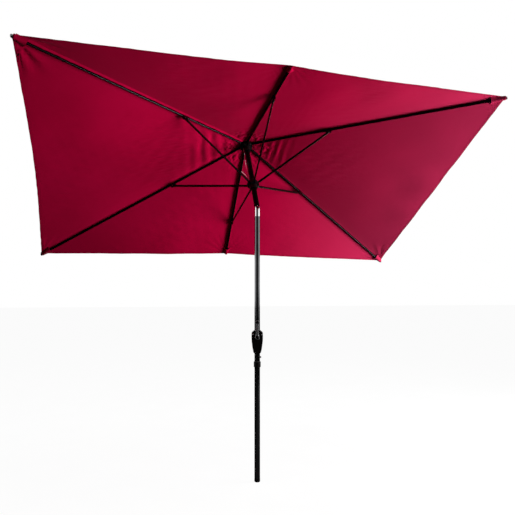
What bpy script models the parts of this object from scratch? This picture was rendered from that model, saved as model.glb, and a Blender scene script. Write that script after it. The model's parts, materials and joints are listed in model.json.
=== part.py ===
"""Rectangular crank-and-tilt patio umbrella, open and tilted.

Metres, +Z up. The origin is the centre of the pole's foot. +X runs along the canopy's long side,
which is also the tilt axis, and the canopy leans towards +Y. Every piece that moves hangs from an
empty whose origin is on its joint axis.
"""

from math import atan2, cos, hypot, pi, radians, sin, tan

import bmesh
import bpy
from mathutils import Vector

# Driving dimensions
CANOPY_HALF_LENGTH = 1.500
CANOPY_HALF_WIDTH = 0.975
CORNER_DROP = 0.382  # corner of the canopy below the hub, along the upper pole
MIDDLE_DROP = 0.342  # middle of a long side below the hub
TILT = radians(30)
PIVOT_HEIGHT = 1.874
MAST_LENGTH = 0.610  # tilt pivot to the plane of the rib hinges
RUNNER_DROP = 0.392  # rib hinges to the plane of the stretcher hinges
CRANK_TURN = radians(-16.3)  # the crank's face is turned this far from -Y about the pole
CRANK_HEIGHT = 0.973
CRANK_THROW = 0.106
POLE_JOIN_HEIGHT = 0.789  # where the lower pole meets the main pole
SNAP_BUTTON_HEIGHT = 0.836

# Sections and clearances
POLE_RADIUS = 0.019
POLE_WALL = 0.0015
POLE_BORE = POLE_RADIUS - POLE_WALL
PLUG_RADIUS = POLE_BORE - 0.0004
GAP = 0.0003
HINGE_RADIUS = 0.035  # ribs and stretchers turn on rings of this radius
HINGE_WIRE = 0.0015
HINGE_HOLE = 0.0026
SLOT_WIDTH = 0.0136
RIB_WIDTH, RIB_DEPTH, RIB_WALL = 0.012, 0.018, 0.001
CORNER_END_INSET = 0.010  # tube ends this far short of the canopy's corner
MIDDLE_END_INSET = 0.030  # and of the middle of its long side
RIB_TIP = 0.016  # plastic tip beyond the tube's end
STRETCHER_WIDTH, STRETCHER_DEPTH, STRETCHER_WALL = 0.010, 0.015, 0.001
STRETCHER_TOE = 0.0085  # stretcher joint below the rib's centre line
CORNER_JOINT, MIDDLE_JOINT = 0.610, 0.650  # hinge to stretcher joint, along the rib
CORNER_WANDER, MIDDLE_WANDER = -0.0105, 0.0160  # how far each rivet moves along its rib's slot
SLOT_RADIUS = 0.0036
CANOPY_THICKNESS = 0.0012
CANOPY_LIFT = 0.0024  # canopy above the top of the ribs
CANOPY_MOUTH = 0.026  # radius of the canopy's centre hole
CORD_RADIUS = 0.0013
CORD_X = -0.0245  # the lift cord's outer run, beside the upper pole
CORD_INNER_X = -0.0045
CORD_AT_PIVOT = (0.0037, -0.0059)  # the lift cord passes behind the tilt pin here
CORD_HOLE = 0.0023
PULLEY_X = (CORD_X + CORD_INNER_X) / 2
PULLEY_UP = -0.0130  # pulley's axis from the plane of the rib hinges
RUNNER_TOP = 0.034  # top of the runner's sleeve above the stretcher hinges
TILT_BUTTON_UP = 0.044  # tilt button above the tilt pivot
BOLT_X, BOLT_HEIGHT = 0.031, 0.992  # the housing's two clamp bolts

# Six ribs: name, side signs along X and Y
RIBS = (
    ("near_left", -1, -1),
    ("near_middle", 0, -1),
    ("near_right", 1, -1),
    ("far_right", 1, 1),
    ("far_middle", 0, 1),
    ("far_left", -1, 1),
)

POLE_SEGMENTS = 24
SMALL_SEGMENTS = 12

COLOURS = {  # name: (linear colour, roughness, metallic)
    "black_steel": ((0.008, 0.008, 0.009), 0.35, 0.0),
    "dark_pole": ((0.012, 0.013, 0.014), 0.20, 0.0),
    "chrome": ((0.75, 0.75, 0.75), 0.08, 1.0),
    "bright_steel": ((0.45, 0.46, 0.47), 0.30, 1.0),
    "black_plastic": ((0.010, 0.010, 0.011), 0.45, 0.0),
    "grey_arm": ((0.42, 0.42, 0.43), 0.35, 0.6),
    "canopy_cloth": ((0.28, 0.002, 0.023), 0.85, 0.0),
    "pale_cord": ((0.60, 0.42, 0.44), 0.80, 0.0),
}


# Building blocks


def clear_scene():
    for obj in list(bpy.data.objects):
        bpy.data.objects.remove(obj, do_unlink=True)


def make_materials():
    made = {}
    for name, (colour, roughness, metallic) in COLOURS.items():
        mat = bpy.data.materials.new(name)
        mat.use_nodes = True
        shader = mat.node_tree.nodes["Principled BSDF"]
        shader.inputs["Base Color"].default_value = (*colour, 1)
        shader.inputs["Roughness"].default_value = roughness
        shader.inputs["Metallic"].default_value = metallic
        made[name] = mat
    return made


def station(name, parent=None, at=(0, 0, 0), turn=(0, 0, 0)):
    """An empty that carries pieces: at and turn are in its parent's frame."""
    empty = bpy.data.objects.new(name, None)
    bpy.context.collection.objects.link(empty)
    empty.parent = parent
    empty.location = at
    empty.rotation_mode = "XYZ"
    empty.rotation_euler = turn
    return empty


def place(name, data, colour, parent):
    obj = bpy.data.objects.new(name, data)
    bpy.context.collection.objects.link(obj)
    obj.parent = parent
    if colour:
        data.materials.append(MATERIALS[colour])
    return obj


def finish_mesh(name, bm, colour, parent, smooth_angle=35):
    bmesh.ops.recalc_face_normals(bm, faces=bm.faces)
    mesh = bpy.data.meshes.new(name)
    bm.to_mesh(mesh)
    bm.free()
    mesh.shade_smooth()
    mesh.set_sharp_from_angle(angle=radians(smooth_angle))
    return place(name, mesh, colour, parent)


def turned(name, profile, colour=None, parent=None, segments=POLE_SEGMENTS, along="Z"):
    """A solid turned about the parent's axis, from a closed profile of (radius, height)."""
    bm = bmesh.new()
    rings = []
    for radius, height in profile:
        if radius == 0:
            rings.append([bm.verts.new((0, 0, height))])
            continue
        angles = [2 * pi * k / segments for k in range(segments)]
        rings.append([bm.verts.new((radius * cos(a), radius * sin(a), height)) for a in angles])
    for ring, after in zip(rings, rings[1:] + rings[:1]):
        for k in range(segments):
            n = (k + 1) % segments
            corners = [ring[k % len(ring)], ring[n % len(ring)]]
            corners += [after[n % len(after)], after[k % len(after)]]
            face = list(dict.fromkeys(corners))
            if len(face) > 2:
                bm.faces.new(face)
    obj = finish_mesh(name, bm, colour, parent)
    obj.rotation_euler = {"Z": (0, 0, 0), "X": (0, pi / 2, 0), "Y": (-pi / 2, 0, 0)}[along]
    return obj


def prism(name, outline, low, high, along, colour=None, parent=None, smooth_angle=35):
    """An outline drawn across X, Y or Z, pushed along that axis from low to high."""
    spot = {
        "X": lambda u, v, w: (w, u, v),
        "Y": lambda u, v, w: (u, w, v),
        "Z": lambda u, v, w: (u, v, w),
    }
    bm = bmesh.new()
    ends = [[bm.verts.new(spot[along](u, v, w)) for u, v in outline] for w in (low, high)]
    for face in ends:
        bm.faces.new(face)
    count = len(outline)
    for k in range(count):
        n = (k + 1) % count
        bm.faces.new((ends[0][k], ends[0][n], ends[1][n], ends[1][k]))
    return finish_mesh(name, bm, colour, parent, smooth_angle)


def arc(centre, radius, start, end, steps):
    """Points along an arc, angles in degrees, both ends included."""
    turns = [radians(start + (end - start) * k / steps) for k in range(steps + 1)]
    return [(centre[0] + radius * cos(t), centre[1] + radius * sin(t)) for t in turns]


def disc(centre, radius, steps=SMALL_SEGMENTS):
    return arc(centre, radius, 0, 360, steps)[:-1]


def rectangle(low, high):
    return [(low[0], low[1]), (high[0], low[1]), (high[0], high[1]), (low[0], high[1])]


def change(target, tool, operation):
    """Cuts the tool from the target, joins it on, or keeps what both share. The tool is only a guide."""
    tool.hide_render = True
    tool.display_type = "WIRE"
    modifier = target.modifiers.new(f"{operation}_{tool.name}", "BOOLEAN")
    modifier.operation = operation
    modifier.object = tool
    modifier.solver = "EXACT"


def cut(target, *tools):
    for tool in tools:
        change(target, tool, "DIFFERENCE")


def join(target, *tools):
    for tool in tools:
        change(target, tool, "UNION")


def round_edges(target, width, segments=2, angle=40):
    modifier = target.modifiers.new("rounding", "BEVEL")
    modifier.width = width
    modifier.segments = segments
    modifier.limit_method = "ANGLE"
    modifier.angle_limit = radians(angle)


def cord(name, points, parent, radius=CORD_RADIUS, colour="pale_cord"):
    curve = bpy.data.curves.new(name, "CURVE")
    curve.dimensions = "3D"
    curve.bevel_depth = radius
    curve.bevel_resolution = 2
    curve.use_fill_caps = True
    spline = curve.splines.new("POLY")
    spline.points.add(len(points) - 1)
    for point, spot in zip(spline.points, points):
        point.co = (*spot, 1)
    return place(name, curve, colour, parent)


def ring_profile(radius, wire, height=0.0, steps=6):
    """The round section of a wire ring."""
    return arc((radius, height), wire, 0, 360, steps)[:-1]


# Lower pole and what is fixed to it


def lower_pole(root):
    foot_height, stem_top = 0.022, 0.052
    rim, rounding = 0.0195, 0.005
    sole = rim - rounding
    profile = [(0, 0), (sole, 0)] + arc((sole, rounding), rounding, -90, 0, 3)[1:]
    profile += [(rim, foot_height), (PLUG_RADIUS, foot_height), (PLUG_RADIUS, stem_top), (0, stem_top)]
    turned("foot_cap", profile, "black_plastic", root)

    start, shoulder = foot_height + GAP, POLE_JOIN_HEIGHT - 0.001
    neck_top, neck_bore = SNAP_BUTTON_HEIGHT + 0.060, PLUG_RADIUS - POLE_WALL
    profile = [
        (POLE_RADIUS, start),
        (POLE_RADIUS, shoulder),
        (PLUG_RADIUS, shoulder + 0.0005),
        (PLUG_RADIUS, neck_top),
        (neck_bore, neck_top),
        (neck_bore, shoulder - 0.006),
        (POLE_BORE, shoulder - 0.008),
        (POLE_BORE, start),
    ]
    pole = turned("lower_pole", profile, "dark_pole", root)
    return pole


def pole_collar(root):
    low, high, outer, inner = 0.768, 0.808, 0.0240, POLE_RADIUS + GAP
    profile = [(inner, low), (0.0225, low), (outer, low + 0.003), (outer, high - 0.004)]
    profile += [(0.0215, high), (inner, high)]
    turned("pole_collar", profile, "black_plastic", root)


def main_pole(root):
    low, high = POLE_JOIN_HEIGHT, 1.8117
    profile = [(POLE_RADIUS, low), (POLE_RADIUS, high), (POLE_BORE, high), (POLE_BORE, low)]
    return turned("main_pole", profile, "dark_pole", root)


def snap_button(side, poles):
    """A sprung button that locks the two pole sections. The side station's +X points out of the pole."""
    hole = 0.0066
    for pole in poles:
        name = f"{pole.name}_button_hole"
        cut(pole, prism(name, disc((0, 0), hole), 0.010, 0.030, "X", parent=side))
    tip = 0.0275
    profile = [(0, 0.0122), (0.0060, 0.0122), (0.0060, tip - 0.003)]
    profile += arc((0.0035, tip - 0.0025), 0.0025, 0, 90, 3) + [(0, tip)]
    turned("snap_button", profile, "bright_steel", side, SMALL_SEGMENTS, along="X")
    # a strip folded into a V: one leg behind the button, the other against the pole's far wall
    strip, top, knee, bend = 0.0007, 0.010, -0.012, -0.036
    front, foot, back = 0.0118, 0.0020, 0.0146
    outside = [(front, top), (front, knee), (foot, bend), (-foot, bend), (-back, top)]
    inside = [(strip - back, top), (strip - foot, bend + strip), (foot - strip, bend + strip)]
    inside += [(front - strip, knee), (front - strip, top)]
    prism("snap_button_spring", outside + inside, -0.0035, 0.0035, "Y", "bright_steel", side)


def housing_outline(inset=0.0):
    """The crank housing seen from the front: narrow round foot, wide shoulders, sloping top."""
    low, high = 0.862 + inset, 1.020 - inset
    right = [(0.0160, low), (0.0230, low + 0.004), (0.0268, low + 0.012), (0.0330, 0.905)]
    right += [(0.0380, 0.945), (0.0393, 0.975), (0.0390, 1.000), (0.0360, 1.008), (0.0220, high)]
    right = [(x - inset, z) for x, z in right]
    return right + [(-x, z) for x, z in reversed(right)]


def crank_housing(front):
    """Two shells clamped round the main pole. The station's -Y is the crank's side."""
    wall, half_depth = 0.0035, 0.034
    shells = {"front": (-half_depth, -GAP), "rear": (GAP, half_depth - 0.004)}
    for side, (low, high) in shells.items():
        shell = prism(f"crank_housing_{side}", housing_outline(), low, high, "Y", "black_plastic", front, 50)
        round_edges(shell, 0.0022, 1, 30)
        hollow_low = low + wall if side == "front" else -0.002
        hollow_high = 0.002 if side == "front" else high - wall
        hollow = prism(f"{side}_hollow", housing_outline(wall), hollow_low, hollow_high, "Y", parent=front)
        channel = prism(f"{side}_channel", disc((0, 0), POLE_RADIUS + GAP, 32), 0.80, 1.08, "Z", parent=front)
        cut(shell, hollow, channel)
        for label, x in (("left", -BOLT_X), ("right", BOLT_X)):
            hole = disc((x, BOLT_HEIGHT), 0.0030)
            cut(shell, prism(f"{side}_{label}_hole", hole, -0.05, 0.05, "Y", parent=front))
        if side == "front":
            notch = prism("front_notch", notch_outline(), -0.05, -0.0215, "Y", parent=front)
            boss_ring = [(0.0175, 0.0395), (0.0175, 0.0280), (0.0120, 0.0280), (0.0120, 0.0395)]
            boss = turned("front_boss", boss_ring, None, front)
            boss.location.z = CRANK_HEIGHT
            boss.rotation_euler = (pi / 2, 0, 0)
            bore = prism("front_bore", disc((0, CRANK_HEIGHT), 0.0119), -0.05, -0.0198, "Y", parent=front)
            cut(shell, notch)
            join(shell, boss)
            cut(shell, bore)
    bolt = [(0, 0.0385), (0.0030, 0.0385), (0.0050, 0.0365), (0.0050, 0.0343), (0.0025, 0.0343)]
    bolt += [(0.0025, -0.0303), (0.0045, -0.0303), (0.0045, -0.0340), (0, -0.0340)]
    for label, x in (("left", -BOLT_X), ("right", BOLT_X)):
        made = turned(f"housing_bolt_{label}", bolt, "bright_steel", front, SMALL_SEGMENTS)
        made.rotation_euler = (pi / 2, 0, 0)
        made.location = (x, 0, BOLT_HEIGHT)


def notch_outline():
    """The U cut into the housing's top front, where the crank arm passes."""
    return [(0.0155, 1.030)] + arc((0, 1.004), 0.0155, 0, -180, 8) + [(-0.0155, 1.030)]


def crank(front, pole):
    """Spool and axle, arm, cap and grip. The station's axis runs along -Y from the pole's centre."""
    drum, flange = 0.0100, 0.0113
    profile = [(0, 0.0462), (0.0048, 0.0462), (0.0048, 0.0125), (flange, 0.0123), (flange, 0.0105)]
    profile += [(drum, 0.0103), (drum, -0.0103), (flange, -0.0105), (flange, -0.0123)]
    profile += [(0.0048, -0.0125), (0.0048, -0.0235), (0, -0.0235)]
    axis = station("crank_axis", front, (0, 0, CRANK_HEIGHT))
    spool = turned("crank_spool", profile, "bright_steel", axis, 24)
    spool.rotation_euler = (pi / 2, 0, 0)
    bore = prism("axle_holes", disc((0, 0), 0.0055), -0.030, 0.030, "Y", parent=axis)
    cut(pole, bore)
    arm_low, arm_high = -0.0505, -0.0465
    tip = 0.0100
    outline = arc((0, 0), 0.0150, 200, 340, 8)
    outline += [(tip, 0.020)] + arc((0, CRANK_THROW), tip, 0, 180, 8) + [(-tip, 0.020)]
    arm = prism("crank_arm", outline, arm_low, arm_high, "Y", "grey_arm", axis)
    round_edges(arm, 0.0008, 1)
    profile = [(0, 0.0500), (0.0110, 0.0500), (0.0110, 0.0300), (0, 0.0300)]
    socket = turned("arm_socket", profile, None, axis)
    socket.rotation_euler = (pi / 2, 0, 0)
    join(arm, socket)
    axle_hole = prism("arm_axle_hole", disc((0, 0), 0.0051), -0.0466, -0.020, "Y", parent=axis)
    pin_hole = prism("arm_pin_hole", disc((0, CRANK_THROW), 0.0034), -0.060, -0.040, "Y", parent=axis)
    cut(arm, axle_hole, pin_hole)
    cap_profile = [(0, 0.0508), (0.0130, 0.0508), (0.0130, 0.0530), (0.0105, 0.0555), (0, 0.0562)]
    cap = turned("crank_cap", cap_profile, "black_plastic", axis, 24)
    cap.rotation_euler = (pi / 2, 0, 0)
    grip_axis = station("grip_axis", axis, (0, 0, CRANK_THROW))
    grip = [(0, 0.0440), (0.0055, 0.0440), (0.0055, 0.0460), (0.0030, 0.0462), (0.0030, 0.0512)]
    grip += [(0.0095, 0.0512), (0.0110, 0.0530), (0.0122, 0.0640), (0.0125, 0.0850)]
    grip += [(0.0118, 0.0960), (0.0085, 0.1005), (0, 0.1010)]
    handle = turned("crank_grip", grip, "black_plastic", grip_axis, 24)
    handle.rotation_euler = (pi / 2, 0, 0)


def tilt_clevis(pivot):
    """A forked plug in the top of the main pole. Heights are counted from the tilt pivot."""
    ear, slot_half, slot_low = 0.011, 0.0060, -0.0135
    base, plug_low = 1.8120 - PIVOT_HEIGHT, 1.7800 - PIVOT_HEIGHT
    blank_top = ear + 0.004
    profile = [(POLE_RADIUS, blank_top), (POLE_RADIUS, base), (PLUG_RADIUS, base), (PLUG_RADIUS, plug_low)]
    profile += [(0, plug_low), (0, blank_top)]
    clevis = turned("tilt_clevis", profile, "chrome", pivot)
    ears = [(-0.021, plug_low - 0.005), (0.021, plug_low - 0.005), (0.021, -0.009)]
    ears += arc((0, 0), ear, -5, 185, 12) + [(-0.021, -0.009)]
    change(clevis, prism("ear_shape", ears, -0.03, 0.03, "X", parent=pivot), "INTERSECT")
    gap = rectangle((-slot_half, slot_low), (slot_half, 0.03))
    slot = prism("clevis_slot", gap, -0.03, 0.03, "Y", parent=pivot)
    pin_hole = prism("clevis_pin_hole", disc((0, 0), 0.0043), -0.03, 0.03, "X", parent=pivot)
    cord_hole = prism("clevis_cord_hole", disc(CORD_AT_PIVOT, CORD_HOLE), -0.12, 0, "Z", parent=pivot)
    cut(clevis, slot, pin_hole, cord_hole)
    for side, low, high in (("left", -0.03, -0.0165), ("right", 0.0165, 0.03)):
        cut(clevis, prism(f"{side}_head_seat", disc((0, 0), 0.0070), low, high, "X", parent=pivot))
    head, shank, inside, end = 0.0062, 0.0040, 0.0168, 0.0190
    pin = [(0, end), (head - 0.001, end), (head, end - 0.001), (head, inside), (shank, inside)]
    pin += [(shank, -inside), (head, -inside), (head, 0.001 - end), (head - 0.001, -end), (0, -end)]
    turned("tilt_pin", pin, "bright_steel", pivot, SMALL_SEGMENTS, along="X")


def lift_cord_below(front_turn, root):
    """Inside the pole: from the spool's side, up to the tilt pivot."""
    side = 0.0100 + CORD_RADIUS + GAP
    start = Vector((side * cos(front_turn), side * sin(front_turn), CRANK_HEIGHT))
    above = Vector((*CORD_AT_PIVOT, 1.700))
    top = Vector((*CORD_AT_PIVOT, PIVOT_HEIGHT - GAP))
    cord("lift_cord_lower", [start, start.lerp(above, 0.5), above, top], root)


# Upper pole, hub and crown, in the tilted frame


def tilt_knuckle(mast):
    """The tongue that turns in the clevis, and the plug that holds the upper pole."""
    shoulder, plug_low, plug_top = 0.0180, 0.0222, 0.064
    profile = [(POLE_RADIUS, shoulder), (POLE_RADIUS, plug_low), (PLUG_RADIUS, plug_low)]
    profile += [(PLUG_RADIUS, plug_top), (0, plug_top), (0, shoulder)]
    knuckle = turned("tilt_knuckle", profile, "black_steel", mast)
    tongue_outline = arc((0, 0), 0.0090, 180, 360, 12) + [(0.0090, 0.020), (-0.0090, 0.020)]
    tongue = prism("knuckle_tongue", tongue_outline, -0.0056, 0.0014, "X", parent=mast)
    pin_hole = prism("knuckle_pin_hole", disc((0, 0), 0.0043), -0.03, 0.03, "X", parent=mast)
    cord_hole = prism("knuckle_cord_hole", disc(CORD_AT_PIVOT, CORD_HOLE), 0, 0.08, "Z", parent=mast)
    bore = prism("knuckle_button_bore", disc((0, TILT_BUTTON_UP), 0.0080), 0.0010, 0.03, "Y", parent=mast)
    join(knuckle, tongue)
    cut(knuckle, pin_hole, cord_hole, bore)


def tilt_button(mast):
    """The sprung release button on the leaning side, just above the tilt pivot."""
    seat = station("tilt_button_axis", mast, (0, 0, TILT_BUTTON_UP))
    profile = [(0, 0.0125), (0.0072, 0.0125), (0.0072, 0.0235), (0.0060, 0.0248), (0, 0.0252)]
    turned("tilt_button", profile, "black_plastic", seat, 24, along="Y")
    turns, steps, radius, wire = 3, 9, 0.0052, 0.0005
    low, high = 0.0010 + GAP + wire, 0.0125 - GAP - wire
    count = round(turns * steps)
    spots = []
    for k in range(count + 1):
        angle = 2 * pi * k / steps
        spots.append((radius * cos(angle), low + (high - low) * k / count, radius * sin(angle)))
    cord("tilt_button_spring", spots, seat, wire, "bright_steel")


def upper_pole(mast):
    low, high = 0.0225, MAST_LENGTH - 0.0285
    profile = [(POLE_RADIUS, low), (POLE_RADIUS, high), (POLE_BORE, high), (POLE_BORE, low)]
    pole = turned("upper_pole", profile, "black_steel", mast)
    hole = prism("upper_pole_button_hole", disc((0, TILT_BUTTON_UP), 0.0078), 0.010, 0.030, "Y", parent=mast)
    cut(pole, hole)


def hinge_slots(target, parent, inner, low, high):
    """Six radial slots, one at each rib."""
    for name, along_x, along_y in RIBS:
        turn = station(f"{target.name}_slot_{name}", parent, (0, 0, 0), (0, 0, rib_azimuth(along_x, along_y)))
        outline = rectangle((inner, -SLOT_WIDTH / 2), (0.08, SLOT_WIDTH / 2))
        cut(target, prism(f"{target.name}_cutter_{name}", outline, low, high, "Z", parent=turn))


def ring_groove(top):
    """The section of the open groove that a hinge ring lies in."""
    half = HINGE_WIRE + 0.0006
    return [(HINGE_RADIUS - half, top), (HINGE_RADIUS - half, -half), (HINGE_RADIUS + half, -half),
            (HINGE_RADIUS + half, top)]


def rib_hub(hub):
    """The notched hub on top of the upper pole. Heights are counted from the rib hinges."""
    rim, top, foot, skirt = 0.0460, 0.0040, -0.0240, 0.0265
    bore_top, bore = -0.0282, POLE_RADIUS + GAP
    profile = [(0, top), (rim - 0.002, top), (rim, top - 0.002), (rim, foot + 0.003), (rim - 0.003, foot)]
    profile += [(skirt, foot - 0.004), (skirt, -0.0620), (bore, -0.0620), (bore, bore_top)]
    profile += [(0.0135, bore_top), (0.0135, -0.0255), (0, -0.0255)]
    body = turned("rib_hub", profile, "black_plastic", hub)
    hinge_slots(body, hub, 0.0278, -0.035, 0.020)
    cut(body, turned("hub_groove", ring_groove(0.010), None, hub))
    around_pulley = rectangle((-0.0285, -0.0275), (-0.0010, -0.0012))
    well = prism("pulley_well", around_pulley, -0.0042, 0.0042, "Y", parent=hub)
    below_pulley = rectangle((-0.0300, -0.0700), (-0.0210, -0.0100))
    way_down = prism("cord_notch", below_pulley, -0.0030, 0.0030, "Y", parent=hub)
    pin_hole = disc((PULLEY_X, PULLEY_UP), 0.0019)
    pin_hole = prism("pulley_pin_hole", pin_hole, -0.0080, 0.0080, "Y", parent=hub)
    cut(body, well, way_down, pin_hole)
    turned("rib_hub_ring", ring_profile(HINGE_RADIUS, HINGE_WIRE), "bright_steel", hub, 36)


def pulley(hub):
    axis = station("pulley_axis", hub, (PULLEY_X, 0, PULLEY_UP))
    half, rim, groove = 0.0036, 0.0110, (CORD_INNER_X - CORD_X) / 2 - CORD_RADIUS - GAP
    profile = [(0.0018, half), (rim, half), (rim, half - 0.0009), (groove, 0.0012), (groove, -0.0012)]
    profile += [(rim, 0.0009 - half), (rim, -half), (0.0018, -half)]
    turned("cord_pulley", profile, "black_plastic", axis, 24, along="Y")
    pin, end = 0.0015, 0.0078
    profile = [(0, end), (pin, end), (pin, -end), (0, -end)]
    turned("pulley_axle", profile, "bright_steel", axis, SMALL_SEGMENTS, along="Y")


def finial(hub):
    """The screwed cap that clamps the canopy's centre, with its rounded knob."""
    stem, plate, low, plate_low = 0.0150, 0.0500, 0.0045, 0.0205
    profile = [(0, low), (stem, low), (stem, plate_low), (plate - 0.002, plate_low)]
    profile += [(plate, plate_low + 0.002)]
    profile += [(plate - 0.004, plate_low + 0.006), (0.0200, plate_low + 0.009), (0.0130, plate_low + 0.014)]
    profile += arc((0, plate_low + 0.034), 0.0220, -55, 90, 6)[:-1] + [(0, plate_low + 0.056)]
    turned("finial", profile, "black_plastic", hub)


def lift_cord_above(mast, hub):
    """The inner run, from the tilt pivot up to the pulley, and the outer run down to the runner."""
    angle_start = Vector((CORD_AT_PIVOT[0], CORD_AT_PIVOT[1], GAP))
    above_plug = Vector((CORD_AT_PIVOT[0], CORD_AT_PIVOT[1], 0.090))
    below_pulley = Vector((CORD_INNER_X, 0, MAST_LENGTH - 0.090))
    pulley_side = Vector((CORD_INNER_X, 0, MAST_LENGTH + PULLEY_UP))
    cord("lift_cord_inner", [angle_start, above_plug, below_pulley, pulley_side], mast)
    top = Vector((CORD_X, 0, PULLEY_UP))
    bottom = Vector((CORD_X, 0, RUNNER_TOP - RUNNER_DROP + GAP))
    cord("lift_cord_outer", [top.lerp(bottom, k / 8) for k in range(9)], hub)


def runner(slide):
    """The sliding collar that carries the stretchers. Heights are counted from their hinges."""
    bore, sleeve, rim = POLE_RADIUS + 0.0007, 0.0288, 0.0440
    profile = [(bore, RUNNER_TOP), (0.0270, RUNNER_TOP), (sleeve, RUNNER_TOP - 0.002), (sleeve, 0.0085)]
    profile += [(rim - 0.002, 0.0085), (rim, 0.0065), (rim, -0.0085), (rim - 0.003, -0.0115)]
    profile += [(sleeve, -0.0135), (0.0265, -0.042), (bore, -0.042)]
    body = turned("runner", profile, "black_plastic", slide)
    hinge_slots(body, slide, 0.0293, -0.030, 0.020)
    cut(body, turned("runner_groove", ring_groove(0.020), None, slide))
    turned("runner_ring", ring_profile(HINGE_RADIUS, HINGE_WIRE), "bright_steel", slide, 36)


# Ribs, stretchers and canopy


def rib_azimuth(along_x, along_y):
    return atan2(along_y * CANOPY_HALF_WIDTH, along_x * CANOPY_HALF_LENGTH)


def rib_facts(along_x):
    """(slope, length, joint) of a rib: its angle below level, hinge to canopy edge, and stretcher joint."""
    corner = along_x != 0
    reach = hypot(CANOPY_HALF_LENGTH, CANOPY_HALF_WIDTH) if corner else CANOPY_HALF_WIDTH
    drop = CORNER_DROP if corner else MIDDLE_DROP
    run = reach - HINGE_RADIUS
    return atan2(drop, run), hypot(drop, run), CORNER_JOINT if corner else MIDDLE_JOINT


def bar_outline(length, toe, depth, taper, blunt):
    """Side view of a tube from its round hinge end; blunt cuts the far end square, or it is round too."""
    half = depth / 2
    far_end = [(length, -half), (length, half)]
    if not blunt:
        far_end = [(length - taper, -half)] + arc((length, 0), toe, -90, 90, 6) + [(length - taper, half)]
    return arc((0, 0), toe, 90, 270, 6) + [(taper, -half)] + far_end + [(taper, half)]


def rib(name, along_x, along_y, hub):
    slope, length, joint = rib_facts(along_x)
    axis = station(f"rib_axis_{name}", hub)
    axis.rotation_euler = (0, slope, rib_azimuth(along_x, along_y))
    axis.location = Vector((cos(axis.rotation_euler.z), sin(axis.rotation_euler.z), 0)) * HINGE_RADIUS
    end = length - (CORNER_END_INSET if along_x else MIDDLE_END_INSET)
    outline = bar_outline(end, 0.0060, RIB_DEPTH, 0.016, blunt=True)
    bar = prism(f"rib_{name}", outline, -RIB_WIDTH / 2, RIB_WIDTH / 2, "Y", "black_steel", axis, 60)
    inner_half, inner_wide = RIB_DEPTH / 2 - RIB_WALL, RIB_WIDTH / 2 - RIB_WALL
    inside = rectangle((-0.02, -inner_half), (end + 0.02, inner_half))
    hollow = prism(f"rib_hollow_{name}", inside, -inner_wide, inner_wide, "Y", parent=axis)
    hole = prism(f"rib_hinge_hole_{name}", disc((0, 0), HINGE_HOLE, 8), -0.02, 0.02, "Y", parent=axis)
    cut(bar, hollow, hole)
    rib_tip(name, end, axis)
    rib_bracket(name, joint, CORNER_WANDER if along_x else MIDDLE_WANDER, axis)


def rib_tip(name, end, axis):
    """Plastic plug and rounded cap in the rib's end, which the canopy's pocket holds."""
    outline = rectangle((end + GAP, -RIB_DEPTH / 2), (end + RIB_TIP, RIB_DEPTH / 2))
    cap = prism(f"rib_tip_{name}", outline, -RIB_WIDTH / 2, RIB_WIDTH / 2, "Y", "black_plastic", axis, 60)
    round_edges(cap, 0.0025, 2)
    plug = rectangle((end - 0.020, -0.0070), (end + 0.004, 0.0070))
    stem = prism(f"rib_tip_stem_{name}", plug, -0.0042, 0.0042, "Y", parent=axis)
    join(cap, stem)


def rib_bracket(name, joint, wander, axis):
    """Two cheeks and a web under the rib. Their slots let the stretcher's rivet wander as the ribs fold."""
    cheek_in, cheek_out, web_top, web_low = 0.0063, 0.0077, -0.0094, -0.0108
    low = -RIB_DEPTH / 2 - STRETCHER_TOE - 0.0075
    high, half_length = 0.0050, 0.021
    right = [(cheek_in, web_low), (cheek_in, low), (cheek_out, low), (cheek_out, high), (cheek_in, high)]
    right += [(cheek_in, web_top)]
    block = right + [(-u, v) for u, v in reversed(right)]
    start, end = joint + wander / 2 - half_length, joint + wander / 2 + half_length
    bracket = prism(f"rib_bracket_{name}", block, start, end, "X", "black_steel", axis, 60)
    toe_height = -RIB_DEPTH / 2 - STRETCHER_TOE
    ends = sorted((joint, joint + wander))
    slot = arc((ends[1], toe_height), SLOT_RADIUS, -90, 90, 4)
    slot += arc((ends[0], toe_height), SLOT_RADIUS, 90, 270, 4)
    cut(bracket, prism(f"bracket_slot_{name}", slot, -0.02, 0.02, "Y", parent=axis))


def stretcher_facts(along_x):
    """(elevation, length) of a stretcher, from the runner's hinge to its joint under the rib."""
    slope, _, joint = rib_facts(along_x)
    toe = RIB_DEPTH / 2 + STRETCHER_TOE
    out = joint * cos(slope) - toe * sin(slope)
    up = RUNNER_DROP - joint * sin(slope) - toe * cos(slope)
    return atan2(up, out), hypot(up, out)


def stretcher(name, along_x, along_y, slide):
    elevation, length = stretcher_facts(along_x)
    axis = station(f"stretcher_axis_{name}", slide)
    axis.rotation_euler = (0, -elevation, rib_azimuth(along_x, along_y))
    axis.location = Vector((cos(axis.rotation_euler.z), sin(axis.rotation_euler.z), 0)) * HINGE_RADIUS
    outline = bar_outline(length, 0.0048, STRETCHER_DEPTH, 0.016, blunt=False)
    half = STRETCHER_WIDTH / 2
    bar = prism(f"stretcher_{name}", outline, -half, half, "Y", "black_steel", axis, 60)
    inner = STRETCHER_DEPTH / 2 - STRETCHER_WALL
    inside = rectangle((-0.02, -inner), (length + 0.02, inner))
    inner_wide = half - STRETCHER_WALL
    hollow = prism(f"stretcher_hollow_{name}", inside, -inner_wide, inner_wide, "Y", parent=axis)
    hole = prism(f"stretcher_hinge_hole_{name}", disc((0, 0), HINGE_HOLE, 8), -0.02, 0.02, "Y", parent=axis)
    rivet = prism(f"stretcher_rivet_{name}", disc((length, 0), 0.0020, 8), -0.0088, 0.0088, "Y", parent=axis)
    cut(bar, hollow, hole)
    join(bar, rivet)


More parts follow.
